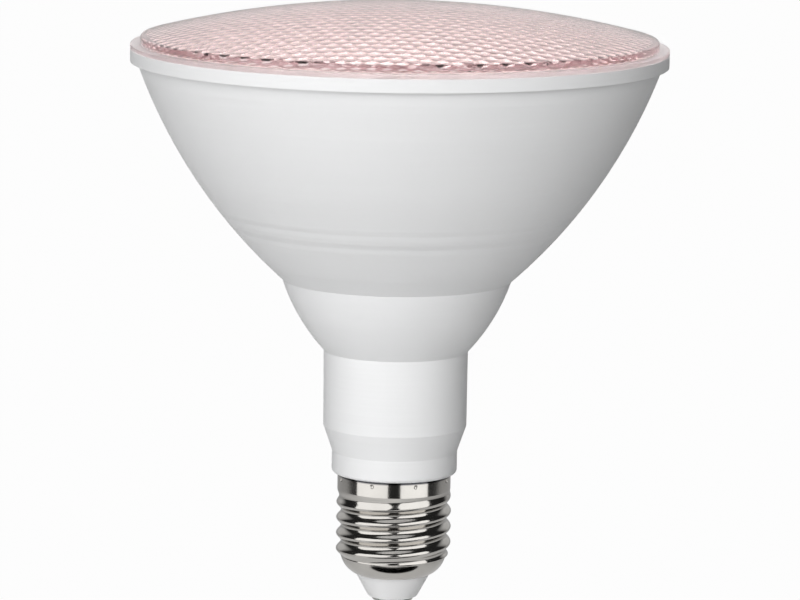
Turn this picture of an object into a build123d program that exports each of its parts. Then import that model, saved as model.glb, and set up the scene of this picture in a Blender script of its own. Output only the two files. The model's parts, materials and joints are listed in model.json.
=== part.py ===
from build123d import *
import math
import os

# A reflector-shaped LED plant lamp: white moulded housing, pink prismatic cover, Edison screw cap.
# Millimetres. The origin is the tip of the centre contact, and +Z runs up the axis to the cover.

# Heights of the stages that show, stacked from the contact tip to the top of the cover
contact_height = 0.9
insulator_height = 5.7
shell_height = 23.4
neck_height = 5.1
taper_height = 5.9
barrel_height = 17.3
waist_height = 16.4
bowl_height = 49.3
rim_height = 2.9
flange_thickness = 1.0
cover_wall_height = 1.8
dome_height = 7.4

# Outside of the housing
rim_radius = 60.6
rim_step = 1.49
bowl_bulge = 3.73
waist_radius = 26.07
waist_bulge = 1.03
barrel_radius = 16.43
barrel_draft = 0.08
neck_radius = 14.32
neck_edge_round = 0.8

# Inside of the housing
bowl_wall = 2.2
barrel_wall = 2.0
cup_ledge_lift = 4.3
neck_bore_radius = 10.4
spigot_length = 10.0
collar_seat_height = 3.6
guide_rib_width = 1.2
guide_rib_grip = 1.4
board_edge_gap = 1.4
guide_rib_height = 14.0

# Cover
cover_wall = 2.0
cover_corner_round = 0.8
flange_width = 2.23
skirt_setback = 0.45
skirt_thickness = 1.5
skirt_depth = 2.7
snap_bead = 0.35
cell_pitch = 3.24
cell_depth = 0.5
cell_turn = -6.0

# Screw cap, to the E27 size
thread_major_radius = 13.15
thread_depth = 1.1
thread_pitch = 3.629
thread_top_runout = 3.8
thread_bottom_runout = 0.8
thread_start_angle = 15.5
thread_sections_per_turn = 10
shell_wall = 0.3
collar_radius = 12.95
collar_height = 3.7
punch_count = 8
punch_radius = 0.7
punch_depth = 0.22
punch_drop = 1.2
cap_dome_height = 3.7
cap_dome_radius = 12.0
cap_dome_bulge = 0.5
cap_mouth_radius = 9.1
insulator_foot_radius = 5.6
insulator_foot_round = 0.9
insulator_inner_height = 3.0
contact_radius = 4.7
contact_edge_round = 0.5
contact_stem_radius = 1.7
contact_stem_height = 8.6

# Aluminium cup and LED board
cup_wall = 1.5
cup_height = 13.0
wire_hole_radius = 4.0
led_board_radius = 35.0
led_board_thickness = 1.5
led_rings = ((6, 12.5), (12, 19.5), (18, 26.5))
led_length = 3.5
led_width = 2.8
led_height = 0.8
led_lip = 0.4
phosphor_depth = 0.4
screw_circle_radius = 31.6
screw_count = 3
screw_turn = 30.0
screw_radius = 1.25
screw_head_radius = 2.5
screw_head_height = 1.7
screw_length = 5.0
screw_cross_width = 0.7
screw_cross_span = 2.8
screw_cross_depth = 0.9
terminal_width = 6.4
terminal_depth = 4.4
terminal_height = 3.0
terminal_setback = 0.8
terminal_grip = 1.6

# Driver board and its components
driver_board_length = 43.0
driver_board_thickness = 1.6
core_width = 13.0
core_length = 12.4
core_thickness = 5.0
core_leg = 2.0
core_yoke = 2.2
core_centre_leg = 3.0
bobbin_wall = 0.6
transformer_lift = 9.0
bulk_capacitor_radius = 5.0
bulk_capacitor_length = 16.0
output_capacitor_radius = 4.0
output_capacitor_length = 12.0
capacitor_drop = 7.5
capacitor_offset = 5.6
capacitor_groove = 0.4
capacitor_groove_height = 2.0
component_round = 0.4
filter_capacitor_width = 13.0
filter_capacitor_depth = 6.0
filter_capacitor_height = 11.0
filter_capacitor_lift = 7.0
choke_radius = 4.0
choke_length = 8.6
choke_lift = 26.0
choke_offset = 5.0
rectifier_lift = 23.0
rectifier_offset = 5.5
rectifier_size = (4.7, 2.5, 6.5)
chip_lift = 32.0
chip_offset = 5.5
chip_size = (3.9, 1.5, 4.9)
chip_pin = (0.4, 0.2, 1.0)
chip_pins_per_side = 4
fuse_radius = 1.6
fuse_length = 9.0
fuse_offset = 4.0
fuse_drop = 16.0
fuse_lead_radius = 0.3
fuse_lead_length = 5.0

# Leads
lead_radius = 0.6
lead_bend = 1.6
lead_spacing = 1.7
led_lead_standoff = 2.0
board_lead_length = 5.0
shell_lead_inset = 6.95
shell_lead_drop = 1.6

# Fits
seat_gap = 0.05
snap_gap = 0.15
shell_gap = 0.15
groove_gap = 0.15
drill_gap = 0.1

# Stage heights above the contact tip
insulator_bottom = contact_height
shell_bottom = insulator_bottom + insulator_height
neck_bottom = shell_bottom + shell_height
taper_bottom = neck_bottom + neck_height
barrel_bottom = taper_bottom + taper_height
barrel_top = barrel_bottom + barrel_height
waist_top = barrel_top + waist_height
bowl_top = waist_top + bowl_height
rim_top = bowl_top + rim_height
flange_top = rim_top + flange_thickness
dome_edge = flange_top + cover_wall_height
dome_top = dome_edge + dome_height
thread_bottom = shell_bottom + cap_dome_height
thread_top = neck_bottom - collar_height
cup_ledge = waist_top + cup_ledge_lift
cup_top = cup_ledge + cup_height
led_board_top = cup_top + led_board_thickness
spigot_bottom = neck_bottom - collar_seat_height - spigot_length
skirt_bottom = rim_top - skirt_depth
cover_shoulder = skirt_bottom - snap_gap

# Radii that follow from the ones above
bowl_top_radius = rim_radius - rim_step
cover_radius = rim_radius - flange_width
skirt_radius = cover_radius - skirt_setback
skirt_bore_radius = skirt_radius - skirt_thickness
barrel_bore_radius = barrel_radius - barrel_draft - barrel_wall
thread_minor_radius = thread_major_radius - thread_depth
spigot_radius = thread_minor_radius - shell_wall - shell_gap
collar_seat_radius = collar_radius - shell_wall - seat_gap

# The driver board stands on the floor of the barrel, its edges in the guide ribs
driver_board_bottom = barrel_bottom
driver_board_half_width = barrel_bore_radius - board_edge_gap
board_face = driver_board_thickness / 2
board_back = -board_face
capacitor_top = driver_board_length - capacitor_drop
fuse_lead_bottom = driver_board_bottom - fuse_drop - fuse_lead_length
led_lead_height = led_board_top + terminal_height / 2

# The transformer's window holds the winding, and the bobbin's flanges reach round it to the board
core_window = (core_width - core_centre_leg) / 2 - core_leg
core_reach = core_length / 2 - core_yoke
bobbin_flange_reach = core_thickness / 2 + core_window


# Boxes that stand on their place's XY plane
on_base = (Align.CENTER, Align.CENTER, Align.MIN)


def circle_through(lower, upper, bulge):
    """Centre and radius of the wall's arc from one (radius, height) point to another."""
    run = upper[0] - lower[0]
    rise = upper[1] - lower[1]
    chord = math.hypot(run, rise)
    radius = (chord**2 / 4 + bulge**2) / (2 * bulge)
    back = radius - bulge
    centre_radius = (lower[0] + upper[0]) / 2 - back * rise / chord
    centre_height = (lower[1] + upper[1]) / 2 + back * run / chord
    return centre_radius, centre_height, radius


def wall_point(circle, inset, height):
    """The point of a wall, or of a surface parallel to it, at one height."""
    centre_radius, centre_height, radius = circle
    reach = math.sqrt((radius - inset)**2 - (height - centre_height)**2)
    return centre_radius + reach, height


def wall_arc(circle, inset, low, high):
    """A stretch of a wall, or of a surface parallel to it, between two heights."""
    middle = wall_point(circle, inset, (low + high) / 2)
    return ThreePointArc(wall_point(circle, inset, low), middle, wall_point(circle, inset, high))


def turned(*lines):
    """The solid that an outline of (radius, height) lines sweeps round the axis."""
    return revolve(Plane.XZ * make_face(Curve() + list(lines)), Axis.Z)


def around(count, radius, turn=0.0):
    """Places on a circle about the axis, each facing outwards."""
    return [Rot(0, 0, turn + 360 * i / count) * Pos(radius, 0, 0) for i in range(count)]


def upright_rod(radius, low, high):
    return Pos(0, 0, low) * extrude(Circle(radius), high - low)


def outer_circle(shape, height):
    """The largest round edge of a shape at one height."""
    rings = shape.edges().filter_by(GeomType.CIRCLE)
    rings = rings.filter_by_position(Axis.Z, height - seat_gap, height + seat_gap)
    return rings.sort_by(SortBy.RADIUS)[-1]


def wire(radius, points, bends):
    """A round lead along straight runs joined by arcs."""
    path = FilletPolyline(*points, radius=bends)
    return sweep(Plane(path @ 0, z_dir=path % 0) * Circle(radius), path)


bowl_circle = circle_through((waist_radius, waist_top), (bowl_top_radius, bowl_top), bowl_bulge)
waist_circle = circle_through((barrel_radius, barrel_top), (waist_radius, waist_top), waist_bulge)
cap_mouth = (cap_mouth_radius, shell_bottom)
cap_circle = circle_through(cap_mouth, (cap_dome_radius, thread_bottom), cap_dome_bulge)
cap_bore_circle = (cap_circle[0] - shell_wall, cap_circle[1], cap_circle[2])
dome_radius = (cover_radius**2 + dome_height**2) / (2 * dome_height)


def dome_point(inset, radius):
    """The height of the cover's dome, or of a surface below it, at a distance from the axis."""
    centre = dome_top - dome_radius
    return radius, centre + math.sqrt((dome_radius - inset)**2 - radius**2)


def ceiling_point(x, y, drop=0.0):
    """A point on the cover's inner face, or straight below it."""
    height = dome_point(cover_wall, math.hypot(x, y))[1]
    return Vector(x, y, height - drop)


def lens_cell(x, y):
    """The sloping faces of one cell: a low six-sided point that hangs from the inner face."""
    reach = cell_pitch / math.sqrt(3)
    turns = [math.radians(cell_turn + 30 + 60 * i) for i in range(6)]
    corners = [ceiling_point(x + reach * math.cos(turn), y + reach * math.sin(turn)) for turn in turns]
    tip = ceiling_point(x, y, cell_depth)
    sides = zip(corners, corners[1:] + corners[:1])
    return [Face(Wire.make_polygon([tip, here, after])) for here, after in sides]


def honeycomb():
    """Cells in staggered rows, as far as the skirt's bore and a little past it."""
    row_spacing = cell_pitch * math.sqrt(3) / 2
    turn = math.radians(cell_turn)
    rows = math.ceil(skirt_bore_radius / row_spacing)
    columns = math.ceil(skirt_bore_radius / cell_pitch)
    faces = []
    for row in range(-rows, rows + 1):
        for column in range(-columns - 1, columns + 1):
            x = (column + row % 2 / 2) * cell_pitch
            y = row * row_spacing
            if math.hypot(x, y) < skirt_bore_radius + cell_pitch:
                across = x * math.cos(turn) - y * math.sin(turn)
                back = x * math.sin(turn) + y * math.cos(turn)
                faces += lens_cell(across, back)
    return Shell(faces)


def lens():
    """The cover as it is moulded, solid first, then hollowed out below the honeycomb."""
    bead_height = (rim_top + skirt_bottom) / 2
    crown = dome_point(0, 0)
    corner = dome_point(0, cover_radius)
    outline = Polyline(
        corner,
        (cover_radius, flange_top),
        (rim_radius, flange_top),
        (rim_radius, rim_top),
        (skirt_radius, rim_top),
        (skirt_radius, bead_height + snap_bead),
        (skirt_radius + snap_bead, bead_height),
        (skirt_radius, bead_height - snap_bead),
        (skirt_radius, skirt_bottom),
        (0, skirt_bottom),
        crown,
    )
    blank = turned(ThreePointArc(crown, dome_point(0, cover_radius / 2), corner), outline)
    blank = fillet(outer_circle(blank, dome_edge), cover_corner_round)
    bore = upright_rod(skirt_bore_radius, skirt_bottom, dome_top)
    hollow = split(bore, bisect_by=honeycomb(), keep=Keep.ALL).solids().sort_by(Axis.Z)[0]
    return blank - hollow


def housing():
    groove_height = (rim_top + skirt_bottom) / 2
    rim_bore = skirt_radius + snap_gap
    floor_corner = wall_point(waist_circle, bowl_wall, barrel_top)
    outside = Polyline(
        (neck_bore_radius, spigot_bottom),
        (spigot_radius, spigot_bottom),
        (spigot_radius, neck_bottom - collar_seat_height),
        (collar_seat_radius, neck_bottom - collar_seat_height),
        (collar_seat_radius, neck_bottom),
        (neck_radius, neck_bottom),
        (neck_radius, taper_bottom),
        (barrel_radius - barrel_draft, barrel_bottom),
        (barrel_radius, barrel_top),
    )
    rim = Polyline(
        (bowl_top_radius, bowl_top),
        (rim_radius, bowl_top),
        (rim_radius, rim_top),
        (rim_bore, rim_top),
        (rim_bore, groove_height + snap_bead),
        (rim_bore + snap_bead, groove_height),
        (rim_bore, groove_height - snap_bead),
        (rim_bore, cover_shoulder),
        wall_point(bowl_circle, bowl_wall, cover_shoulder),
    )
    ledge_edge = wall_point(waist_circle, bowl_wall, cup_ledge)
    ledge = Line(wall_point(bowl_circle, bowl_wall, cup_ledge), ledge_edge)
    inside = Polyline(
        floor_corner,
        (barrel_bore_radius, barrel_top),
        (barrel_bore_radius, barrel_bottom),
        (neck_bore_radius, barrel_bottom),
        (neck_bore_radius, spigot_bottom),
    )
    body = turned(
        outside,
        wall_arc(waist_circle, 0, barrel_top, waist_top),
        wall_arc(bowl_circle, 0, waist_top, bowl_top),
        rim,
        wall_arc(bowl_circle, bowl_wall, cup_ledge, cover_shoulder),
        ledge,
        wall_arc(waist_circle, bowl_wall, barrel_top, cup_ledge),
        inside,
    )
    body = fillet(outer_circle(body, neck_bottom), neck_edge_round)
    return body + guide_ribs() - punch_marks(punch_radius + shell_wall + seat_gap)


def guide_ribs():
    """Two pairs of ribs on the barrel wall that hold the edges of the driver board."""
    reach = barrel_bore_radius + barrel_wall / 2
    inner = driver_board_half_width - guide_rib_grip
    start = board_face + groove_gap
    blank = Box(reach - inner, guide_rib_width, guide_rib_height, align=Align.MIN)
    rib = Pos(inner, start, barrel_bottom) * blank
    pair = [rib, mirror(rib, Plane.XZ)]
    return pair + [mirror(one, Plane.YZ) for one in pair]


def thread_body(inset):
    """The rolled thread: stacked circles whose centres wind round the axis, fading out at both ends."""
    offset = thread_depth / 2
    mean_radius = thread_major_radius - offset
    length = thread_top - thread_bottom
    count = math.ceil(length / thread_pitch * thread_sections_per_turn)
    sections = []
    for i in range(count + 1):
        rise = length * i / count
        fade = min(1.0, rise / thread_bottom_runout, (length - rise) / thread_top_runout)
        end_radius = cap_dome_radius if rise < length / 2 else collar_radius
        radius = end_radius + (mean_radius - end_radius) * fade - inset
        angle = thread_start_angle + 360 * rise / thread_pitch
        place = Rot(0, 0, angle) * Pos(offset * fade, 0, thread_bottom + rise)
        sections.append(Pos(place.position) * Circle(radius))
    return loft(sections)


def punch_marks(radius):
    """Balls at the punched dimples that lock the shell's collar to the housing."""
    ball = Pos(0, 0, neck_bottom - punch_drop) * Sphere(radius)
    away = collar_radius - punch_depth + punch_radius
    return [place * ball for place in around(punch_count, away, 180 / punch_count)]


def screw_shell():
    bore = upright_rod(collar_radius - shell_wall, thread_top, neck_bottom)
    bore -= punch_marks(punch_radius + shell_wall)
    collar = upright_rod(collar_radius, thread_top, neck_bottom) - bore
    collar -= punch_marks(punch_radius)
    dome = turned(
        wall_arc(cap_circle, 0, shell_bottom, thread_bottom),
        Line(wall_point(cap_circle, 0, thread_bottom), wall_point(cap_bore_circle, 0, thread_bottom)),
        wall_arc(cap_bore_circle, 0, shell_bottom, thread_bottom),
        Line(wall_point(cap_bore_circle, 0, shell_bottom), wall_point(cap_circle, 0, shell_bottom)),
    )
    thread = thread_body(0) - thread_body(shell_wall)
    return collar + thread + dome


def cap_insulator():
    """A truncated cone below the shell, with a flange that beds on the inside of the shell's dome."""
    top = shell_bottom + insulator_inner_height
    stem_hole = contact_stem_radius + seat_gap
    body = turned(
        wall_arc(cap_bore_circle, seat_gap, shell_bottom, top),
        Polyline(
            wall_point(cap_bore_circle, seat_gap, top),
            (stem_hole, top),
            (stem_hole, insulator_bottom),
            (insulator_foot_radius, insulator_bottom),
            wall_point(cap_bore_circle, seat_gap, shell_bottom),
        ),
    )
    return fillet(outer_circle(body, insulator_bottom), insulator_foot_round)


def centre_contact():
    """A rivet: its head is the contact face, and its stem passes up through the insulator."""
    head = upright_rod(contact_radius, 0, contact_height)
    stem = upright_rod(contact_stem_radius, contact_height, contact_stem_height)
    return fillet(outer_circle(head, 0), contact_edge_round) + stem


def heat_sink():
    """A pressed cup: a flat top for the board, and a skirt that lies against the bowl."""
    outer = bowl_wall + seat_gap
    inner = outer + cup_wall
    underside = cup_top - cup_wall
    cup = turned(
        wall_arc(bowl_circle, outer, cup_ledge, cup_top),
        Polyline(
            wall_point(bowl_circle, outer, cup_top),
            (wire_hole_radius, cup_top),
            (wire_hole_radius, underside),
            wall_point(bowl_circle, inner, underside),
        ),
        wall_arc(bowl_circle, inner, cup_ledge, underside),
        Line(wall_point(bowl_circle, inner, cup_ledge), wall_point(bowl_circle, outer, cup_ledge)),
    )
    return cup - screw_holes(underside, cup_top)


def screw_places():
    return around(screw_count, screw_circle_radius, screw_turn)


def screw_holes(low, high):
    hole = upright_rod(screw_radius + drill_gap, low, high)
    return [place * hole for place in screw_places()]


def led_board():
    board = upright_rod(led_board_radius, cup_top, led_board_top)
    board -= upright_rod(wire_hole_radius, cup_top, led_board_top)
    return board - screw_holes(cup_top, led_board_top)


def led_places():
    places = []
    for count, radius in led_rings:
        places += around(count, radius, 180 / count)
    return places


def phosphor_fill():
    """The gel in one package, flush with its top."""
    fill = Box(led_width - 2 * led_lip, led_length - 2 * led_lip, phosphor_depth, align=on_base)
    return Pos(0, 0, led_board_top + led_height - phosphor_depth) * fill


def led_packages():
    body = Pos(0, 0, led_board_top) * Box(led_width, led_length, led_height, align=on_base)
    package = body - phosphor_fill()
    return Compound(children=[place * package for place in led_places()])


def led_phosphor():
    fill = phosphor_fill()
    return Compound(children=[place * fill for place in led_places()])


def terminal_hole(radius, depth):
    """One pole of the terminal, as a bore into its face towards the wire hole."""
    face = -(wire_hole_radius + terminal_setback)
    return Pos(0, face, led_lead_height) * Rot(90, 0, 0) * extrude(Circle(radius), depth)


def wire_terminal():
    face = -(wire_hole_radius + terminal_setback)
    block = Box(terminal_width, terminal_depth, terminal_height, align=on_base)
    block = Pos(0, face - terminal_depth / 2, led_board_top) * block
    bore = terminal_hole(lead_radius + drill_gap, terminal_grip + drill_gap)
    return block - [Pos(side * lead_spacing, 0, 0) * bore for side in (-1, 1)]


def board_screw():
    """A pan-head screw whose shank ends in the cup's plate."""
    top = led_board_top + screw_head_height
    head = upright_rod(screw_head_radius, led_board_top, top)
    head = fillet(outer_circle(head, top), screw_head_height / 2)
    slot = Box(screw_cross_span, screw_cross_width, screw_cross_depth, align=on_base)
    slot = Pos(0, 0, top - screw_cross_depth) * slot
    shank = upright_rod(screw_radius, led_board_top - screw_length, led_board_top)
    return head + shank - [slot, Rot(0, 0, 90) * slot]


def board_screws():
    screw = board_screw()
    return Compound(children=[place * screw for place in screw_places()])


def on_face(shape, offset, lift):
    """Seats a shape, drawn with +Y away from the board, on the board's front."""
    return Pos(offset, board_face, driver_board_bottom + lift) * shape


def on_back(shape, offset, lift):
    """Seats a shape, drawn with +Y away from the board, on the board's back."""
    return Pos(offset, board_back, driver_board_bottom + lift) * Rot(0, 0, 180) * shape


def seated_box(size):
    return Box(*size, align=(Align.CENTER, Align.MIN, Align.MIN))


def driver_board():
    size = (2 * driver_board_half_width, driver_board_thickness, driver_board_length)
    return Pos(0, 0, driver_board_bottom) * Box(*size, align=on_base)


def can_capacitor(radius, length):
    """An electrolytic can lying on the board, with the crimp groove near its lower end."""
    can = extrude(Circle(radius), length)
    ends = can.edges().filter_by(GeomType.CIRCLE)
    can = fillet(ends, component_round)
    groove = Torus(radius, capacitor_groove)
    can -= Pos(0, 0, capacitor_groove_height) * groove
    return Pos(0, radius + seat_gap, 0) * can


def bulk_capacitor():
    can = can_capacitor(bulk_capacitor_radius, bulk_capacitor_length)
    return on_face(can, -capacitor_offset, capacitor_top - bulk_capacitor_length)


def output_capacitor():
    can = can_capacitor(output_capacitor_radius, output_capacitor_length)
    return on_face(can, capacitor_offset, capacitor_top - output_capacitor_length)


def filter_capacitor():
    box = seated_box((filter_capacitor_width, filter_capacitor_depth, filter_capacitor_height))
    rounded = fillet(box.edges().group_by(Axis.Y)[-1], component_round)
    return on_back(rounded, 0, filter_capacitor_lift)


def on_transformer(shape):
    """Places a shape drawn about the transformer's centre, with its flanges on the board."""
    return on_face(Pos(0, bobbin_flange_reach, 0) * shape, 0, transformer_lift)


def transformer_core():
    """Two E-shaped halves that meet in the middle of the bobbin."""
    half = Box(core_width, core_thickness, core_length / 2, align=on_base)
    gap = Box(core_window, core_thickness, core_reach, align=(Align.MIN, Align.CENTER, Align.MIN))
    half -= [Pos(core_centre_leg / 2, 0, 0) * gap, Pos(-core_centre_leg / 2 - core_window, 0, 0) * gap]
    lower = mirror(half, Plane.XY)
    return Compound(children=[on_transformer(half), on_transformer(lower)])


def bobbin_tube(grow):
    return Box(core_centre_leg + 2 * grow, core_thickness + 2 * grow, 2 * core_reach)


def transformer_bobbin():
    width = core_centre_leg + 2 * (core_window - drill_gap)
    flange = Box(width, 2 * bobbin_flange_reach, bobbin_wall, align=on_base)
    flanges = [Pos(0, 0, -core_reach) * flange, Pos(0, 0, core_reach - bobbin_wall) * flange]
    body = bobbin_tube(seat_gap + bobbin_wall) + flanges
    return on_transformer(body - bobbin_tube(seat_gap))


def transformer_winding():
    half_height = core_reach - bobbin_wall
    wound = core_window - 2 * drill_gap
    outline = RectangleRounded(core_centre_leg + 2 * wound, core_thickness + 2 * wound, wound / 2)
    coil = Pos(0, 0, -half_height) * extrude(outline, 2 * half_height)
    return on_transformer(coil - bobbin_tube(seat_gap + bobbin_wall))


def input_choke():
    """A drum core in a sleeve, standing on the board's back."""
    drum = Rot(-90, 0, 0) * extrude(Circle(choke_radius), choke_length)
    drum = fillet(drum.edges().filter_by(GeomType.CIRCLE).sort_by(Axis.Y)[-1], component_round)
    return on_back(drum, choke_offset, choke_lift)


def bridge_rectifier():
    return on_back(seated_box(rectifier_size), -rectifier_offset, rectifier_lift)


def driver_chip():
    """A small-outline package with four pins on each side."""
    width, depth, length = chip_size
    pin_width, pin_thickness, pin_reach = chip_pin
    body = seated_box(chip_size)
    pitch = length / chip_pins_per_side
    pin = seated_box((width + 2 * pin_reach, pin_thickness, pin_width))
    pins = [Pos(0, 0, pitch * (i + 0.5) - pin_width / 2) * pin for i in range(chip_pins_per_side)]
    return on_back(body + pins, -chip_offset, chip_lift)


def fuse_axis():
    """Where the fuse resistor's lead runs down the board's back."""
    return -fuse_offset, board_back - fuse_lead_radius - seat_gap


def fuse_resistor():
    x, y = fuse_axis()
    body_top = driver_board_bottom - fuse_drop + fuse_length
    body_bottom = body_top - fuse_length
    body = upright_rod(fuse_radius, body_bottom, body_top)
    body = fillet(body.edges().filter_by(GeomType.CIRCLE), component_round)
    lead = upright_rod(fuse_lead_radius, fuse_lead_bottom, driver_board_bottom + board_lead_length)
    return Pos(x, y, 0) * (body + lead)


def contact_lead():
    """Runs from the fuse resistor's lower lead to the top of the contact's stem."""
    x, y = fuse_axis()
    straight = (fuse_lead_bottom - contact_stem_height) / 3
    points = [
        (x, y, fuse_lead_bottom),
        (x, y, fuse_lead_bottom - straight),
        (0, 0, contact_stem_height + straight),
        (0, 0, contact_stem_height),
    ]
    return wire(lead_radius, points, lead_bend)


def shell_lead():
    """Runs down the neck and out under the spigot to the inside of the shell."""
    x = driver_board_half_width - shell_lead_inset
    y = board_back - lead_radius - seat_gap
    low = spigot_bottom - shell_lead_drop
    end = math.sqrt((thread_minor_radius - shell_wall - shell_gap)**2 - (abs(y) + lead_radius)**2)
    points = [
        (x, y, driver_board_bottom + board_lead_length),
        (x, y, low),
        (end, y, low),
    ]
    return wire(lead_radius, points, lead_bend)


def led_lead(side):
    """Leaves the board's front near its top, rises through the cup and enters the terminal."""
    x = side * lead_spacing
    start = driver_board_bottom + driver_board_length - board_lead_length
    away = board_face + led_lead_standoff
    points = [
        (x, board_face, start),
        (x, away, start),
        (x, away, led_lead_height),
        (x, -(wire_hole_radius + terminal_setback + terminal_grip), led_lead_height),
    ]
    return wire(lead_radius, points, lead_bend)


def led_lead_positive():
    return led_lead(1)


def led_lead_negative():
    return led_lead(-1)


pieces = (
    lens,
    housing,
    heat_sink,
    led_board,
    led_packages,
    led_phosphor,
    wire_terminal,
    board_screws,
    driver_board,
    bulk_capacitor,
    output_capacitor,
    filter_capacitor,
    transformer_core,
    transformer_bobbin,
    transformer_winding,
    input_choke,
    bridge_rectifier,
    driver_chip,
    fuse_resistor,
    screw_shell,
    cap_insulator,
    centre_contact,
    shell_lead,
    contact_lead,
    led_lead_positive,
    led_lead_negative,
)

os.makedirs("parts", exist_ok=True)
for piece in pieces:
    export_step(piece(), f"parts/{piece.__name__}.step")
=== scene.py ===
# %% [markdown]
# # A pink plant lamp in a white studio
# The lamp is a white moulded reflector with a pink prismatic cover on top and a nickel-plated
# screw cap below. Its solids come ready made from the drawing and stay exactly where they are.
# This lesson builds what the solids lack: the cover's smooth lens cells, a finish for every
# piece, and the studio that the picture was taken in. All lengths are in metres.

# %% Load the solids
import json
import math

import bmesh
import bpy
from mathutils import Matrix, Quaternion, Vector


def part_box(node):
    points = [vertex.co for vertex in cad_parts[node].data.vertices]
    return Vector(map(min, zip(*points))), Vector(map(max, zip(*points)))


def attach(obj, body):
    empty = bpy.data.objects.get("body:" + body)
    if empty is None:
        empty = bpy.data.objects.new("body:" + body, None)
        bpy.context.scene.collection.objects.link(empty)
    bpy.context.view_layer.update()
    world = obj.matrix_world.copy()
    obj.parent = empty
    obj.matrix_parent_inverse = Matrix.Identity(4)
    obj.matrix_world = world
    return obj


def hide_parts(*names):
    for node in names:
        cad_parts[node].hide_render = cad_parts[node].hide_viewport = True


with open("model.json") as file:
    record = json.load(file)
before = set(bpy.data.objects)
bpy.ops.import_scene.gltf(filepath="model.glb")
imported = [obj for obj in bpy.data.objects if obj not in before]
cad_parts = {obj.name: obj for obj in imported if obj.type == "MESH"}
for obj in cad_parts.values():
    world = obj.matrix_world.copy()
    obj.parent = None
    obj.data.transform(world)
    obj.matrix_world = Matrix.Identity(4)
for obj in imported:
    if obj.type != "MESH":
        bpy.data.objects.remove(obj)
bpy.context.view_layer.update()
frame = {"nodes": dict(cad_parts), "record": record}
solids = frame["nodes"]
scene = bpy.context.scene
scene.view_settings.view_transform = "Standard"

# %% [markdown]
# ## Camera
# The picture was taken with a long lens from a little above the waist of the lamp, so the rings
# of the housing show as flat ellipses. The lens, height and distance were worked out from those
# ellipses. The lamp leans very slightly to the right, so the camera is rolled the other way.

# %% Camera
camera_lens = 185.4
camera_elevation = math.radians(9.52)
camera_distance = 0.9364
camera_roll = math.radians(0.80)
camera_target = Vector((0.0008, 0, 0.0697))

camera = bpy.data.objects.new("camera", bpy.data.cameras.new("camera"))
camera.data.lens = camera_lens
away = Vector((0, -math.cos(camera_elevation), math.sin(camera_elevation)))
camera.location = camera_target + camera_distance * away
camera.rotation_mode = "QUATERNION"
camera.rotation_quaternion = (-away).to_track_quat("-Z", "Y") @ Quaternion((0, 0, 1), camera_roll)
scene.collection.objects.link(camera)
scene.camera = camera
print("camera at", [round(side, 3) for side in camera.location])

# %% [markdown]
# ## Writing nodes as formulas
# Finishes and node groups are easier to read as sums than as boxes and wires. `Socket` wraps one
# output of a node and turns +, -, * and / into Math nodes. `Tree.add` makes any other node: its
# settings come first, because they can change which sockets it has, and then its sockets.

# %% Socket and Tree
class Socket:
    """One output of a node, which can stand in a formula."""

    def __init__(self, tree, output):
        self.tree = tree
        self.output = output

    def maths(self, operation, first, second=0.0):
        return self.tree.add("ShaderNodeMath", {"operation": operation}, {0: first, 1: second})

    def __add__(self, other):
        return self.maths("ADD", self, other)

    def __sub__(self, other):
        return self.maths("SUBTRACT", self, other)

    def __rsub__(self, other):
        return self.maths("SUBTRACT", other, self)

    def __mul__(self, other):
        return self.maths("MULTIPLY", self, other)

    def __truediv__(self, other):
        return self.maths("DIVIDE", self, other)

    def __rtruediv__(self, other):
        return self.maths("DIVIDE", other, self)

    def __abs__(self):
        return self.maths("ABSOLUTE", self)

    def root(self):
        return self.maths("SQRT", self)

    __radd__ = __add__
    __rmul__ = __mul__


class Tree:
    """A node tree, filled one node at a time."""

    def __init__(self, tree):
        self.tree = tree

    def add(self, kind, settings=None, sockets=None, output=0):
        """Makes one node and gives back one of its outputs, or the node if it has none."""
        node = self.tree.nodes.new(kind)
        for name, value in (settings or {}).items():
            setattr(node, name, value)
        for name, value in (sockets or {}).items():
            self.feed(node.inputs[name], value)
        return Socket(self, node.outputs[output]) if node.outputs else node

    def feed(self, socket, value):
        if isinstance(value, Socket):
            self.tree.links.new(value.output, socket)
        else:
            socket.default_value = value


print("formula helpers ready")

# %% [markdown]
# ## Studio floor
# The lamp hangs in a white studio: a large pale floor lies well below it and sweeps up behind it,
# and the front of the room is open and dim, which is what gives the screw cap its dark stripes.
# The floor shows white to the camera and through the clear cover, and paler than it is in mirrors.
# To all other light it is an ordinary matt sheet, so it still takes the lamp's shadow and throws
# light up under the bowl. The foot of the camera's stand is a dark patch in front of the lamp. It
# only shows in mirrors, as the black oval on the dome of the screw cap.

# %% Floor paint
floor_height = -0.45
floor_colour = (0.80, 0.80, 0.80, 1)
floor_shadow_share = 0.02
mirror_share = 0.35
foot_centre = (0.05, -0.28)
foot_half_size = (0.52, 0.19)
foot_fade = 0.15
foot_colour = (0, 0, 0, 1)


def sees_background(tree, kinds):
    """How white a background each kind of ray should find, and 0 for all other light."""
    seen = 0.0
    for kind, share in kinds.items():
        ray = tree.add("ShaderNodeLightPath", output=f"Is {kind} Ray")
        seen = ray.maths("MAXIMUM", ray * share, seen)
    return seen


def clear_of_foot(tree):
    """0 on the foot of the camera's stand and 1 on the rest of the floor."""
    place = tree.add("ShaderNodeTexCoord", output="Object")
    x, y = [tree.add("ShaderNodeSeparateXYZ", sockets={0: place}, output=axis) for axis in "XY"]
    x = (x - foot_centre[0]) / foot_half_size[0]
    y = (y - foot_centre[1]) / foot_half_size[1]
    sockets = {"Value": (x * x + y * y).root(), "From Min": 1 - foot_fade, "From Max": 1.0}
    return tree.add("ShaderNodeMapRange", {"clamp": True}, sockets)


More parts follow.
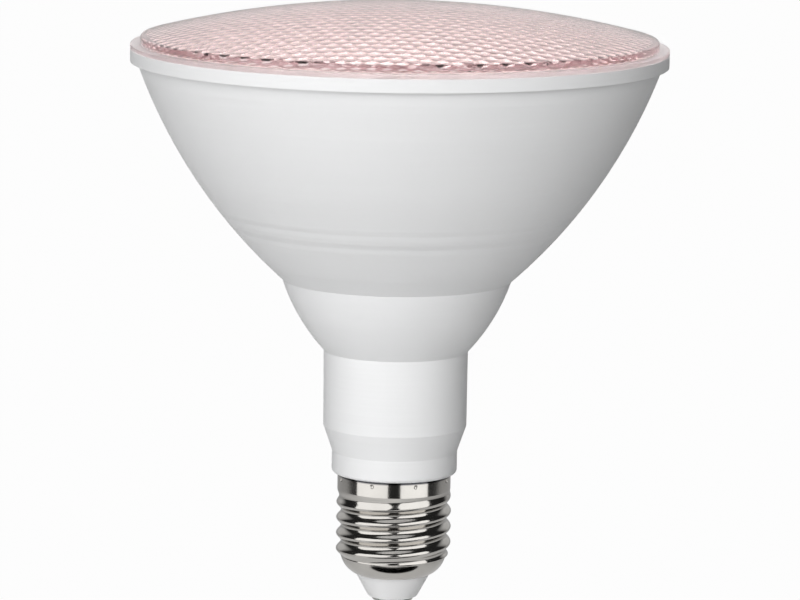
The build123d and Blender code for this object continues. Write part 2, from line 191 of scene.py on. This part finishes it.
def floor_paint():
    paint = bpy.data.materials.new("floor_paint")
    paint.use_nodes = True
    tree = Tree(paint.node_tree)
    tree.tree.nodes.clear()
    clear = clear_of_foot(tree)
    mirrored = tree.add("ShaderNodeLightPath", output="Is Glossy Ray")
    colours = {0: mirrored * (1 - clear), 6: floor_colour, 7: foot_colour}
    matt = tree.add("ShaderNodeMix", {"data_type": "RGBA"}, colours, output=2)
    sheet = tree.add("ShaderNodeBsdfDiffuse", sockets={"Color": matt})
    white = tree.add("ShaderNodeEmission", sockets={"Color": (1, 1, 1, 1), "Strength": 1.0})
    white_to = {"Camera": 1.0, "Glossy": clear * mirror_share, "Transmission": 1.0}
    share = sees_background(tree, white_to) * (1 - floor_shadow_share)
    mixed = tree.add("ShaderNodeMixShader", sockets={0: share, 1: sheet, 2: white})
    tree.add("ShaderNodeOutputMaterial", sockets={"Surface": mixed})
    return paint


print("floor height in m:", floor_height)

# %% [markdown]
# A flat sheet would end in an edge behind the lamp, so the far part of the floor curves up like a
# paper sweep. A square grid is pulled into a disc, moved back and lifted point by point, because a
# formula for the height is shorter than a bent and subdivided plane.

# %% Sweep the floor up behind the lamp
floor_radius = 2.3
floor_centre = 1.2
floor_divisions = 40
sweep_start = 1.8
sweep_rise = 0.45


def sweep_height(back):
    """The floor's height at a distance behind the lamp."""
    share = max(0.0, (back - sweep_start) / (floor_radius + floor_centre - sweep_start))
    return floor_height + sweep_rise * share**2


floor_mesh = bmesh.new()
divisions = {"x_segments": floor_divisions, "y_segments": floor_divisions}
bmesh.ops.create_grid(floor_mesh, size=floor_radius, **divisions)
for vert in floor_mesh.verts:
    square = max(abs(vert.co.x), abs(vert.co.y))
    vert.co *= square / vert.co.length if square else 0
    vert.co.y += floor_centre
    vert.co.z = sweep_height(vert.co.y)
floor_data = bpy.data.meshes.new("studio_floor")
floor_mesh.to_mesh(floor_data)
floor_mesh.free()
floor_data.materials.append(floor_paint())
floor = bpy.data.objects.new("studio_floor", floor_data)
scene.collection.objects.link(floor)
print("floor reaches", round(floor_radius - floor_centre, 2), "m to the front")

# %% [markdown]
# ## Lights
# The cap mirrors two tall soft boxes, left and right of the camera with a narrow gap between them,
# and that gives their places. The right side of the housing lies in shade, so the right box was
# far weaker than its mirror image: it is only mirrored. A box over the camera lights the front and
# a box behind fills the back, and neither shows in mirrors. A small panel over the cover lights
# its inside, and it is the only light that shines through the cover. It stands a hair off the axis,
# because a light straight above its target has no side to turn to. A box's radiance is the
# brightness it has when looked at, where 1 is white.

# %% Soft boxes
aim_height = 0.07
box_distance = 1.0
panel_offset = 0.001


def soft_box(name, azimuth, height, width, tall, radiance, distance=box_distance):
    """A flat light round the lamp, by its angle from the camera, facing the lamp's axis."""
    light = bpy.data.lights.new(name, "AREA")
    light.shape = "RECTANGLE"
    light.size = width
    light.size_y = tall
    light.energy = radiance * math.pi * width * tall
    box = bpy.data.objects.new(name, light)
    turn = math.radians(azimuth)
    box.location = (distance * math.sin(turn), -distance * math.cos(turn), height)
    box.rotation_mode = "QUATERNION"
    box.rotation_quaternion = (Vector((0, 0, aim_height)) - box.location).to_track_quat("-Z", "Y")
    box.visible_camera = False
    scene.collection.objects.link(box)
    return box


left_box = soft_box("left_box", azimuth=-46, height=0.32, width=1.56, tall=1.35, radiance=1.35)
right_box = soft_box("right_box", azimuth=43, height=0.32, width=1.3, tall=1.35, radiance=1.4)
front_box = soft_box("front_box", azimuth=10, height=0.46, width=1.3, tall=0.7, radiance=2.85)
back_box = soft_box("back_box", azimuth=180, height=0.30, width=1.0, tall=1.0, radiance=1.3)
panel = soft_box(
    "cover_panel", azimuth=0, height=0.26, width=0.12, tall=0.12, radiance=7.4, distance=panel_offset
)
right_box.visible_diffuse = False
for unmirrored in (front_box, back_box, panel):
    unmirrored.visible_glossy = False
for box in (left_box, right_box, front_box, back_box):
    box.visible_transmission = False

# %% [markdown]
# Light runs a long way inside the clear cover before it comes out at the edge, so rays may bounce
# more often than usual. The room itself is almost dark, and white only to the camera and through
# the cover. In mirrors just its back wall is light, which gives the cap its grey edges. Above the
# lamp the wall is lighter still, and that is the sheen on the cover's dome.

# %% Room
scene.cycles.max_bounces = 24
scene.cycles.glossy_bounces = 20
scene.cycles.transmission_bounces = 24
room_grey = (0.02, 0.02, 0.02, 1)
back_wall_share = 0.42
back_wall_start = 0.50
back_wall_full = 0.75
upper_wall_share = 0.15
upper_wall_rise = 0.12

world = bpy.data.worlds.new("room")
scene.world = world
world.use_nodes = True
room = Tree(world.node_tree)
room.tree.nodes.clear()
way = room.add("ShaderNodeTexCoord", output="Generated")
way_x, way_y, way_z = [
    room.add("ShaderNodeSeparateXYZ", sockets={0: way}, output=axis) for axis in "XYZ"
]
backwards = way_y / (way_x * way_x + way_y * way_y).root()
back_wall = room.add("ShaderNodeMapRange", {"clamp": True}, {
    "Value": backwards, "From Min": back_wall_start, "From Max": back_wall_full,
})
upper_wall = room.add("ShaderNodeMapRange", {"clamp": True}, {
    "Value": way_z, "From Min": 0.0, "From Max": upper_wall_rise,
})
mirrored_wall = back_wall * (upper_wall * upper_wall_share + back_wall_share)
white_to = {"Camera": 1.0, "Transmission": 1.0, "Glossy": mirrored_wall}
dim = room.add("ShaderNodeBackground", sockets={"Color": room_grey, "Strength": 1.0})
bright = room.add("ShaderNodeBackground", sockets={"Color": (1, 1, 1, 1), "Strength": 1.0})
shown = room.add("ShaderNodeMixShader", sockets={0: sees_background(room, white_to), 1: dim, 2: bright})
room.add("ShaderNodeOutputWorld", sockets={"Surface": shown})
print("room made, grey", room_grey[0])

# %% [markdown]
# ## A finish
# Every finish starts the same way: a material with one shader and one output. `Finish` keeps that
# in one place, with the few patterns that most finishes share. Patterns read Object coordinates,
# which are metres in the lamp's own frame, so a scale of 1000 gives features about 1 mm across.

# %% Finish
class Finish(Tree):
    """A material with one main shader."""

    def __init__(self, name):
        self.material = bpy.data.materials.new(name)
        self.material.use_nodes = True
        super().__init__(self.material.node_tree)
        self.tree.nodes.clear()
        self.place = self.add("ShaderNodeTexCoord", output="Object")

    def noise(self, scale=1, detail=2.0, stretch=None):
        """Cloudy noise, drawn out along the axes that have a small stretch."""
        place = self.place
        if stretch:
            place = self.add("ShaderNodeMapping", sockets={"Vector": place, "Scale": stretch})
        sockets = {"Vector": place, "Scale": scale, "Detail": detail}
        return self.add("ShaderNodeTexNoise", sockets=sockets)

    def part(self, axis):
        return self.add("ShaderNodeSeparateXYZ", sockets={0: self.place}, output=axis)

    def blend(self, share, first, second):
        sockets = {0: share, 6: first, 7: second}
        return self.add("ShaderNodeMix", {"data_type": "RGBA"}, sockets, output=2)

    def ramp(self, value, low, high):
        """0 at low and 1 at high, whichever is larger, straight between them and level beyond."""
        sockets = {"Value": value, "From Min": low, "From Max": high}
        return self.add("ShaderNodeMapRange", {"clamp": True}, sockets)

    def bump(self, height, depth=1.0):
        """Bump from a height in metres, or from a pattern between 0 and 1 and its depth."""
        return self.add("ShaderNodeBump", sockets={"Height": height, "Distance": depth})

    def surface(self, sockets, volume=None):
        outputs = {"Surface": self.add("ShaderNodeBsdfPrincipled", sockets=sockets)}
        if volume:
            outputs["Volume"] = volume
        self.add("ShaderNodeOutputMaterial", sockets=outputs)
        return self.material


def shade(grey, warmth=0.0):
    return (grey + warmth, grey, grey - warmth, 1)


print("finish helper ready")

# %% [markdown]
# ## White housing
# The housing is one satin white moulding. Its texture is a fine spark-eroded grain, with faint
# rings left by the turned mould, and two soft lines where the metal cup inside has made the
# plastic sink a little. All of that is far too shallow to model, so it is bump.

# %% Satin white moulding
sink_heights = (0.0868, 0.0902)
sink_half_width = 0.0012
sink_depth = 0.00009
ring_depth = 0.00014
grain_depth = 0.000008
housing_grain_scale = 1500
patch_scale = 30
ring_stretch = (12, 12, 400)
housing_shades = (shade(0.81, -0.004), shade(0.84, -0.004))
housing_roughness = 0.42
housing_grain_roughness = 0.10
housing_specular = 0.25


def satin_white():
    white = Finish("satin_white")
    grain = white.noise(housing_grain_scale, detail=3)
    patches = white.noise(patch_scale)
    rings = white.noise(stretch=ring_stretch)
    height = grain * grain_depth + rings * ring_depth
    for sink in sink_heights:
        height = height - white.ramp(abs(white.part("Z") - sink), sink_half_width, 0.0) * sink_depth
    return white.surface({
        "Base Color": white.blend(patches, *housing_shades),
        "Roughness": housing_roughness + grain * housing_grain_roughness,
        "Specular IOR Level": housing_specular,
        "Normal": white.bump(height),
    })


housing_white = satin_white()
print("housing finish:", housing_white.name)

# %% [markdown]
# ## Screw cap and contact
# The shell is thin brass, rolled and then plated with bright nickel. Plating follows the metal,
# so the only texture is the fine drawing marks that run round the axis and a slight cloudiness.
# A painted shade darkens a thin band round the top, for the shadow and dark reflection in the gap
# where the shell goes in under the neck of the housing. The contact rivet has the same plate, dulled by
# handling.

# %% Nickel plate
nickel_tint = (0.64, 0.62, 0.59, 1)
nickel_dull_tint = (0.55, 0.53, 0.50, 1)
# Painted shade: the dark colour of the band under the neck, where the gap's shadow falls
gap_shade_tint = (0.04, 0.04, 0.05, 1)
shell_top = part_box("screw_shell")[1].z
gap_shade_width = 0.0004
gap_shade_fade = 0.0004
gap_shade_full = shell_top - gap_shade_width
gap_shade_start = gap_shade_full - gap_shade_fade
cloud_scale = 260
cloud_roughness = 0.06
drawing_stretch = (60, 60, 4000)
drawing_depth = 0.000002


def nickel_plate(name, roughness):
    plate = Finish(name)
    cloud = plate.noise(cloud_scale, detail=3)
    drawn = plate.noise(stretch=drawing_stretch)
    tint = plate.blend(cloud, nickel_tint, nickel_dull_tint)
    # Painted shade: 1 in a thin band at the shell's top under the neck, fading out below it
    gap_shade = plate.ramp(plate.part("Z"), gap_shade_start, gap_shade_full)
    return plate.surface({
        "Base Color": plate.blend(gap_shade, tint, gap_shade_tint),
        "Metallic": 1.0,
        "Roughness": roughness + cloud * cloud_roughness,
        "Normal": plate.bump(drawn, drawing_depth),
    })


cap_plate = nickel_plate("nickel_plate", roughness=0.09)
contact_plate = nickel_plate("contact_plate", roughness=0.16)
print("cap finishes:", cap_plate.name, contact_plate.name)

# %% [markdown]
# ## Cover
# The cover is one clear pink moulding: a shallow dome with a short wall, a thin flange over the
# housing's rim and a skirt inside it. Its outer face is smooth, and its inner face is a honeycomb
# of small bulging lenses. The honeycomb follows a rule, so Geometry Nodes lay it out: a staggered
# grid of points, one lens on each point, and the whole field turned a little and lifted onto the
# inner dome. Each lens is a pillow with a steep border, which shows as the thin line round it.

# %% Sizes of the cover
millimetre = 0.001
skirt_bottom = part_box("lens")[0].z
dome_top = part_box("lens")[1].z
rim_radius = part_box("lens")[1].x
rim_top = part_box("housing")[1].z
flange_thickness = 1.0 * millimetre
flange_width = 2.23 * millimetre
wall_height = 1.8 * millimetre
wall_step = 0.45 * millimetre
skirt_thickness = 1.5 * millimetre
cover_thickness = 2.0 * millimetre
corner_round = 0.8 * millimetre
snap_bead = 0.35 * millimetre
edge_round = 0.2 * millimetre
seat_gap = 0.03 * millimetre
flange_top = rim_top + flange_thickness
wall_top = flange_top + wall_height
wall_radius = rim_radius - flange_width
skirt_radius = wall_radius - wall_step
bore_radius = skirt_radius - skirt_thickness
dome_rise = dome_top - wall_top
dome_radius = (wall_radius**2 + dome_rise**2) / (2 * dome_rise)
dome_centre = dome_top - dome_radius
print("cover dome radius in mm:", round(1000 * dome_radius, 1))

# %% [markdown]
# The node group takes its sizes as named inputs, so one group can make a finer or a coarser field.
# Copies of one lens, placed by a loop, would look the same, but each change would place 1,100 of
# them again. Points where neighbouring lenses meet are welded, so the field is one sheet.

# %% Honeycomb node group
cell_pitch = 3.24 * millimetre
cell_depth = 0.22 * millimetre
cell_steepening = 1.5
border_start = 0.55
cell_turn = math.radians(-6)
row_ratio = math.sqrt(3) / 2
cell_reach_ratio = 1 / math.sqrt(3)
cell_corners = 6
weld_share = 0.02
spare_rows = 3


def group_inputs(group, sizes):
    """Named inputs of a node group, and the identifiers that a modifier sets them by."""
    keys = {}
    for name, (kind, value) in sizes.items():
        socket = group.interface.new_socket(name=name, in_out="INPUT", socket_type=kind)
        keys[socket.identifier] = value
    return keys


def lens_field(sizes):
    """A node group that lays bulging lenses in staggered rows under a dome."""
    group = bpy.data.node_groups.new("lens_field", "GeometryNodeTree")
    keys = group_inputs(group, sizes)
    group.interface.new_socket(name="Geometry", in_out="OUTPUT", socket_type="NodeSocketGeometry")
    tree = Tree(group)
    entry = group.nodes.new("NodeGroupInput")
    given = {name: Socket(tree, entry.outputs[name]) for name in sizes}
    pitch = given["Pitch"]
    points = staggered_points(tree, given, pitch * row_ratio)
    cell = lens_cell(tree, pitch * cell_reach_ratio, given["Cell Depth"])
    field = tree.add("GeometryNodeInstanceOnPoints", sockets={"Points": points, "Instance": cell})
    field = tree.add("GeometryNodeRealizeInstances", sockets={0: field})
    field = tree.add("GeometryNodeMergeByDistance", sockets={0: field, "Distance": pitch * weld_share})
    turn = tree.add("ShaderNodeCombineXYZ", sockets={"Z": given["Turn"]})
    field = tree.add("GeometryNodeTransform", sockets={0: field, "Rotation": turn})
    field = lifted_to_dome(tree, field, given)
    field = tree.add("GeometryNodeSetMaterial", sockets={0: field, "Material": given["Material"]})
    tree.add("NodeGroupOutput", sockets={0: field})
    return group, keys


print("honeycomb pitch in mm:", round(1000 * cell_pitch, 2))

# %% [markdown]
# Three rules make the field. A grid becomes a honeycomb when every second row moves half a pitch
# along. A lens is a fan of six triangles, divided once and pushed down by a formula, which keeps
# each of the many lenses to a few dozen faces. Last, every point rises to the inner dome.

# %% Rows, lenses and dome
def split_place(tree):
    place = tree.add("GeometryNodeInputPosition")
    return [tree.add("ShaderNodeSeparateXYZ", sockets={0: place}, output=axis) for axis in "XY"]


def shifted(tree, mesh, x=0.0, y=0.0, z=0.0):
    offset = tree.add("ShaderNodeCombineXYZ", sockets={"X": x, "Y": y, "Z": z})
    return tree.add("GeometryNodeSetPosition", sockets={0: mesh, "Offset": offset})


def staggered_points(tree, given, spacing):
    """A grid of points, every second row moved half a pitch along, cut off outside the field."""
    pitch, count = given["Pitch"], given["Rows"]
    sizes = {"Size X": pitch * (count - 1), "Size Y": spacing * (count - 1)}
    grid = tree.add("GeometryNodeMeshGrid", sockets={**sizes, "Vertices X": count, "Vertices Y": count})
    x, y = split_place(tree)
    row = y.maths("ROUND", y / spacing)
    odd = row.maths("FLOORED_MODULO", row, 2.0)
    grid = shifted(tree, grid, x=odd * pitch / 2)
    x, y = split_place(tree)
    outside = x.maths("GREATER_THAN", (x * x + y * y).root(), given["Field Radius"])
    return tree.add("GeometryNodeDeleteGeometry", {"domain": "POINT"}, {0: grid, "Selection": outside})


def lens_cell(tree, reach, depth):
    """A six-sided pillow, flat in the middle and steeper along its border, hanging from its edge."""
    circle = {"Vertices": cell_corners, "Radius": reach}
    flat_to_row = (0, 0, math.pi / cell_corners)
    cell = tree.add("GeometryNodeMeshCircle", {"fill_type": "TRIANGLE_FAN"}, circle)
    cell = tree.add("GeometryNodeTransform", sockets={0: cell, "Rotation": flat_to_row})
    cell = tree.add("GeometryNodeSubdivideMesh", sockets={0: cell, "Level": 1})
    x, y = split_place(tree)
    # 0 in the middle of the cell and 1 on each of its six sides
    outward = x.maths("MAXIMUM", abs(x), abs(x) / 2 + abs(y) * row_ratio) / (reach * row_ratio)
    # Pushes the points between the middle and the sides out to where the border starts
    spread = 4 * outward * (1 - outward) * (2 * border_start - 1)
    sag = depth * (outward.maths("POWER", outward, cell_steepening) - 1)
    return shifted(tree, cell, x * spread, y * spread, sag)


def lifted_to_dome(tree, field, given):
    dome = given["Dome Radius"]
    x, y = split_place(tree)
    return shifted(tree, field, z=(dome * dome - x * x - y * y).root() + given["Dome Centre"])


print("honeycomb helpers ready")

# %% [markdown]
# ## Pink plastic
# The cover is dyed in the mass, so its colour grows with the length of the light's way through
# it: pale where one looks straight through, deep along the wall and the corner. That is what a
# Volume Absorption does. The surface has a touch of the same pink and is polished, except on the
# flange, which is satin and paler.

# %% Clear pink plastic
plastic_ior = 1.50
dye_colour = (0.62, 0.10, 0.16, 1)
dye_density = 8.0
cover_tints = ((0.99, 0.845, 0.835, 1), (0.99, 0.87, 0.855, 1))
flange_tint = (0.92, 0.90, 0.90, 1)
flow_scale = 90
polished_roughness = 0.02
flow_roughness = 0.03
satin_roughness = 0.4
satin_fade = 0.1 * millimetre


def pink_plastic():
    """Polished on the dome and the lenses, and satin on the flange below the dome's wall."""
    pink = Finish("pink_plastic")
    flow = pink.noise(flow_scale)
    satin = pink.ramp(pink.part("Z"), flange_top + satin_fade, flange_top)
    tint = pink.blend(flow, *cover_tints)
    dye = pink.add("ShaderNodeVolumeAbsorption", sockets={"Color": dye_colour, "Density": dye_density})
    return pink.surface({
        "Base Color": pink.blend(satin, tint, flange_tint),
        "Roughness": polished_roughness + flow * flow_roughness + satin * satin_roughness,
        "IOR": plastic_ior,
        "Transmission Weight": 1.0,
    }, volume=dye)


cover_plastic = pink_plastic()
print("cover finish:", cover_plastic.name)

# %% [markdown]
# The honeycomb is needed as a plain mesh that can be cut and joined. So a holder carries the node
# group as a modifier just long enough to read its result. The inputs are set by their identifiers
# before that, because the first reading already uses them.

# %% Lay out the honeycomb
field_sizes = {
    "Pitch": ("NodeSocketFloat", cell_pitch),
    "Cell Depth": ("NodeSocketFloat", cell_depth),
    "Turn": ("NodeSocketFloat", cell_turn),
    "Rows": ("NodeSocketInt", 2 * math.ceil(bore_radius / (cell_pitch * row_ratio)) + spare_rows),
    "Field Radius": ("NodeSocketFloat", bore_radius + cell_pitch),
    "Dome Radius": ("NodeSocketFloat", dome_radius - cover_thickness),
    "Dome Centre": ("NodeSocketFloat", dome_centre),
    "Material": ("NodeSocketMaterial", cover_plastic),
}


def grown(group, keys):
    """The plain mesh that a node group makes."""
    holder = bpy.data.objects.new(group.name, bpy.data.meshes.new(group.name))
    scene.collection.objects.link(holder)
    modifier = holder.modifiers.new(group.name, "NODES")
    modifier.node_group = group
    for key, value in keys.items():
        modifier[key] = value
    evaluated = holder.evaluated_get(bpy.context.evaluated_depsgraph_get())
    mesh = bpy.data.meshes.new_from_object(evaluated)
    bpy.data.objects.remove(holder)
    return mesh


honeycomb = grown(*lens_field(field_sizes))
print("honeycomb faces:", len(honeycomb.polygons))

# %% [markdown]
# The field is larger than the cover, so it is trimmed to the bore of the skirt, one flat after
# another. Its edge is then drawn straight down to make the skirt's inner wall.

# %% Trim the honeycomb to the skirt
bore_flats = 144
cut_tolerance = 1e-8


def trim_to_bore(mesh):
    flat_distance = bore_radius * math.cos(math.pi / bore_flats)
    for i in range(bore_flats):
        turn = 2 * math.pi * (i + 0.5) / bore_flats
        outward = Vector((math.cos(turn), math.sin(turn), 0))
        beyond = {vert for vert in mesh.verts if vert.co.dot(outward) > flat_distance}
        near = [face for face in mesh.faces if any(vert in beyond for vert in face.verts)]
        parts = {part for face in near for part in (*face.verts, *face.edges, face)}
        flat = {"plane_co": flat_distance * outward, "plane_no": outward, "clear_outer": True}
        bmesh.ops.bisect_plane(mesh, geom=list(parts), dist=cut_tolerance, **flat)


def rim_edges(mesh):
    return [edge for edge in mesh.edges if edge.is_boundary]


cover_mesh = bmesh.new()
cover_mesh.from_mesh(honeycomb)
trim_to_bore(cover_mesh)
wall = bmesh.ops.extrude_edge_only(cover_mesh, edges=rim_edges(cover_mesh))["geom"]
for vert in wall:
    if isinstance(vert, bmesh.types.BMVert):
        vert.co.z = skirt_bottom
print("trimmed faces:", len(cover_mesh.faces), "edge points:", len(rim_edges(cover_mesh)))

# %% [markdown]
# The outside of the cover is a turned form, so it is drawn as a half section, from the skirt up
# to the crown, and carried round the axis. Small rounds on the edges catch the light.

# %% Outer skin
round_steps = 7
dome_steps = 30


def rounded(centre, radius, start, end):
    """Points of an arc in the half section, by its centre and its start and end angles."""
    turns = [math.radians(start + (end - start) * i / round_steps) for i in range(round_steps + 1)]
    return [(centre[0] + radius * math.cos(turn), centre[1] + radius * math.sin(turn)) for turn in turns]


def skin_section():
    bead = (rim_top + skirt_bottom) / 2
    corner_centre = wall_radius - corner_round
    corner_lean = math.asin(corner_centre / (dome_radius - corner_round))
    corner_height = dome_centre + (dome_radius - corner_round) * math.cos(corner_lean)
    flange_edge = (rim_radius - edge_round, flange_top - edge_round)
    section = [
        (skirt_radius, skirt_bottom),
        (skirt_radius, bead - snap_bead),
        (skirt_radius + snap_bead, bead),
        (skirt_radius, bead + snap_bead),
        (skirt_radius, rim_top + seat_gap),
        (rim_radius, rim_top + seat_gap),
    ]
    section += rounded(flange_edge, edge_round, 0, 90)
    section += [(wall_radius, flange_top)]
    section += rounded((corner_centre, corner_height), corner_round, 0, 90 - math.degrees(corner_lean))
    for i in range(1, dome_steps):
        lean = corner_lean * (1 - i / dome_steps)
        section.append((dome_radius * math.sin(lean), dome_centre + dome_radius * math.cos(lean)))
    return section


print("half section points:", len(skin_section()))

# %% [markdown]
# The rings of the skin start from the honeycomb's own edge points, so the seam has no gap. A Screw
# modifier would turn the same section, but with even steps that don't meet those points. Edges
# between lenses stay sharp, so that each lens has a clear outline, and all flatter ones are smooth.

# %% Close the cover
sharp_angle = math.radians(12)


def add_skin(mesh, section):
    """Carries a half section round the axis from the open edge of the mesh, and closes the crown."""
    edge = {vert for rim in rim_edges(mesh) for vert in rim.verts}
    edge = sorted(edge, key=lambda vert: math.atan2(vert.co.y, vert.co.x))
    turns = [math.atan2(vert.co.y, vert.co.x) for vert in edge]
    rings = [edge]
    rings += [[mesh.verts.new((r * math.cos(t), r * math.sin(t), z)) for t in turns] for r, z in section]
    crown = mesh.verts.new((0, 0, dome_top))
    for i in range(len(edge)):
        for low, high in zip(rings, rings[1:]):
            mesh.faces.new((low[i - 1], low[i], high[i], high[i - 1]))
        mesh.faces.new((rings[-1][i - 1], rings[-1][i], crown))


add_skin(cover_mesh, skin_section())
bmesh.ops.recalc_face_normals(cover_mesh, faces=cover_mesh.faces)
for face in cover_mesh.faces:
    face.smooth = True
    # The node group's mesh has an empty slot before the plastic, and the cover has only the plastic
    face.material_index = 0
cover_data = bpy.data.meshes.new("pink_cover")
cover_mesh.to_mesh(cover_data)
print("cover faces:", len(cover_data.polygons), "open edges:", len(rim_edges(cover_mesh)))
cover_mesh.free()

cover_data.set_sharp_from_angle(angle=sharp_angle)
cover_data.materials.append(cover_plastic)
cover = bpy.data.objects.new("pink_cover", cover_data)
scene.collection.objects.link(cover)
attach(cover, "root")
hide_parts("lens")

# %% [markdown]
# ## Inside and small pieces
# Nothing inside is seen plainly, but the cover shows its colours, and a lamp that is taken apart
# should look right. Most pieces are moulded or lacquered, so one recipe with a colour, a gloss
# and a grain size serves them. Metals, the boards and the winding have recipes of their own.

# %% Moulded and metal recipes
drift_ratio = 25
drift_share = 0.86
moulded_grain_roughness = 0.12
moulded_grain_depth = 0.00002
worn_share = 0.82
mark_roughness = 0.15
mark_depth = 0.00001


def darkened(colour, share):
    return (*(share * channel for channel in colour[:3]), 1)


def moulded(name, colour, roughness, grain_scale=1800):
    """Plastic, rubber or lacquer: a grainy surface whose colour drifts a little."""
    plastic = Finish(name)
    grain = plastic.noise(grain_scale, detail=3)
    drift = plastic.noise(grain_scale / drift_ratio)
    return plastic.surface({
        "Base Color": plastic.blend(drift, darkened(colour, drift_share), colour),
        "Roughness": roughness + grain * moulded_grain_roughness,
        "Normal": plastic.bump(grain, moulded_grain_depth),
    })


def sheet_metal(name, colour, roughness, stretch):
    """Bare metal with fine marks drawn out in one direction."""
    metal = Finish(name)
    marks = metal.noise(detail=3, stretch=stretch)
    return metal.surface({
        "Base Color": metal.blend(marks, darkened(colour, worn_share), colour),
        "Metallic": 1.0,
        "Roughness": roughness + marks * mark_roughness,
        "Normal": metal.bump(marks, mark_depth),
    })


print("recipes ready")

# %% [markdown]
# The lamp board is aluminium under a white mask, and copper rings feed the LEDs, so its tracks are
# rings round the axis. The driver board is green glass fibre with squarish copper areas, and a
# Voronoi texture with square distances has just that look. Yellow tape covers the winding, and
# bands along its height show the turns. Painted pictures would need an image file for each.

# %% Lamp board
track_ring_radii = (0.0160, 0.0230, 0.0300)
track_half_width = 0.0004
white_mask_shades = (shade(0.86, 0.01), shade(0.78, 0.02))
white_mask_roughness = 0.35
speck_scale = 1200
speck_height = 0.2
speck_roughness = 0.15
track_depth = 0.00004


def lamp_board():
    """White solder mask over ring-shaped copper tracks, which show as faint raised bands."""
    board = Finish("lamp_board")
    x, y = board.part("X"), board.part("Y")
    radius = (x * x + y * y).root()
    tracks = 0.0
    for ring in track_ring_radii:
        tracks = board.ramp(abs(radius - ring), track_half_width, 0.0) + tracks
    speck = board.noise(speck_scale, detail=3)
    return board.surface({
        "Base Color": board.blend(tracks, *white_mask_shades),
        "Roughness": white_mask_roughness + speck * speck_roughness,
        "Normal": board.bump(tracks + speck * speck_height, track_depth),
    })


print("lamp board tracks:", len(track_ring_radii))

# %% Driver board
green_mask_shades = ((0.05, 0.27, 0.11, 1), (0.03, 0.17, 0.07, 1))
green_mask_roughness = 0.30
copper_scale = 260.0
gap_edges = (0.42, 0.46)
weave_scale = 2500
weave_height = 0.3
weave_roughness = 0.15


def driver_mask():
    """Green mask on glass fibre, with copper areas as squarish, paler and slightly raised patches."""
    mask = Finish("driver_mask")
    squares = {"distance": "CHEBYCHEV", "feature": "F1"}
    copper = mask.add("ShaderNodeTexVoronoi", squares, {"Vector": mask.place, "Scale": copper_scale})
    gaps = mask.ramp(copper, *gap_edges)
    weave = mask.noise(weave_scale)
    return mask.surface({
        "Base Color": mask.blend(gaps, *green_mask_shades),
        "Roughness": green_mask_roughness + weave * weave_roughness,
        "Normal": mask.bump(weave * weave_height - gaps, track_depth),
    })


print("driver board finish ready")

# %% Winding
tape_shades = ((0.80, 0.56, 0.08, 1), (0.88, 0.68, 0.15, 1))
tape_roughness = 0.22
turn_scale = 160.0
turn_wobble = 0.3
turn_roughness = 0.1
turn_depth = 0.00005


def taped_winding():
    """Yellow tape round the winding, with a soft step at each turn."""
    tape = Finish("taped_winding")
    sockets = {"Vector": tape.place, "Scale": turn_scale, "Distortion": turn_wobble}
    turns = tape.add("ShaderNodeTexWave", {"bands_direction": "Z"}, sockets)
    return tape.surface({
        "Base Color": tape.blend(turns, *tape_shades),
        "Roughness": tape_roughness + turns * turn_roughness,
        "Normal": tape.bump(turns, turn_depth),
    })


print("winding finish ready")

# %% [markdown]
# Each solid names a slot in the record, and each slot has one finish, so pieces of the same stuff
# share it. The cover's slot isn't in the list, because the cover has its plastic already.

# %% Give each solid its finish
finishes = {
    "housing_white": housing_white,
    "cap_nickel": cap_plate,
    "insulator_white": moulded("white_insulator", shade(0.90), roughness=0.28, grain_scale=900),
    "contact_metal": contact_plate,
    "cup_aluminium": sheet_metal(
        "pressed_aluminium", (0.80, 0.80, 0.81, 1), roughness=0.30, stretch=(900, 900, 40)
    ),
    "board_white": lamp_board(),
    "led_body": moulded("led_body", shade(0.84, 0.02), roughness=0.45, grain_scale=4000),
    "led_fill": moulded("led_fill", (0.88, 0.47, 0.36, 1), roughness=0.25, grain_scale=5000),
    "terminal_white": moulded("terminal_white", shade(0.80, 0.01), roughness=0.40),
    "screw_steel": sheet_metal(
        "screw_zinc", (0.68, 0.68, 0.70, 1), roughness=0.25, stretch=(1500, 1500, 1500)
    ),
    "board_green": driver_mask(),
    "can_sleeve": moulded("can_sleeve", (0.035, 0.04, 0.06, 1), roughness=0.25),
    "film_yellow": moulded("film_yellow", (0.82, 0.56, 0.07, 1), roughness=0.30),
    "ferrite": moulded("ferrite", (0.075, 0.075, 0.08, 1), roughness=0.50, grain_scale=3500),
    "bobbin_black": moulded("bobbin_black", (0.03, 0.03, 0.033, 1), roughness=0.42),
    "winding_tape": taped_winding(),
    "package_black": moulded("package_black", (0.025, 0.025, 0.026, 1), roughness=0.50, grain_scale=4000),
    "fuse_body": moulded("fuse_body", (0.16, 0.30, 0.40, 1), roughness=0.35, grain_scale=2500),
    "lead_black": moulded("lead_black", (0.025, 0.025, 0.025, 1), roughness=0.45),
    "lead_red": moulded("lead_red", (0.55, 0.03, 0.025, 1), roughness=0.45),
    "lead_white": moulded("lead_white", shade(0.78, 0.01), roughness=0.45),
}

for subpart in frame["record"]["subparts"]:
    finish = finishes.get(subpart["material_slot"])
    if finish:
        materials = solids[subpart["node"]].data.materials
        materials.clear()
        materials.append(finish)
print("finishes:", len(finishes))
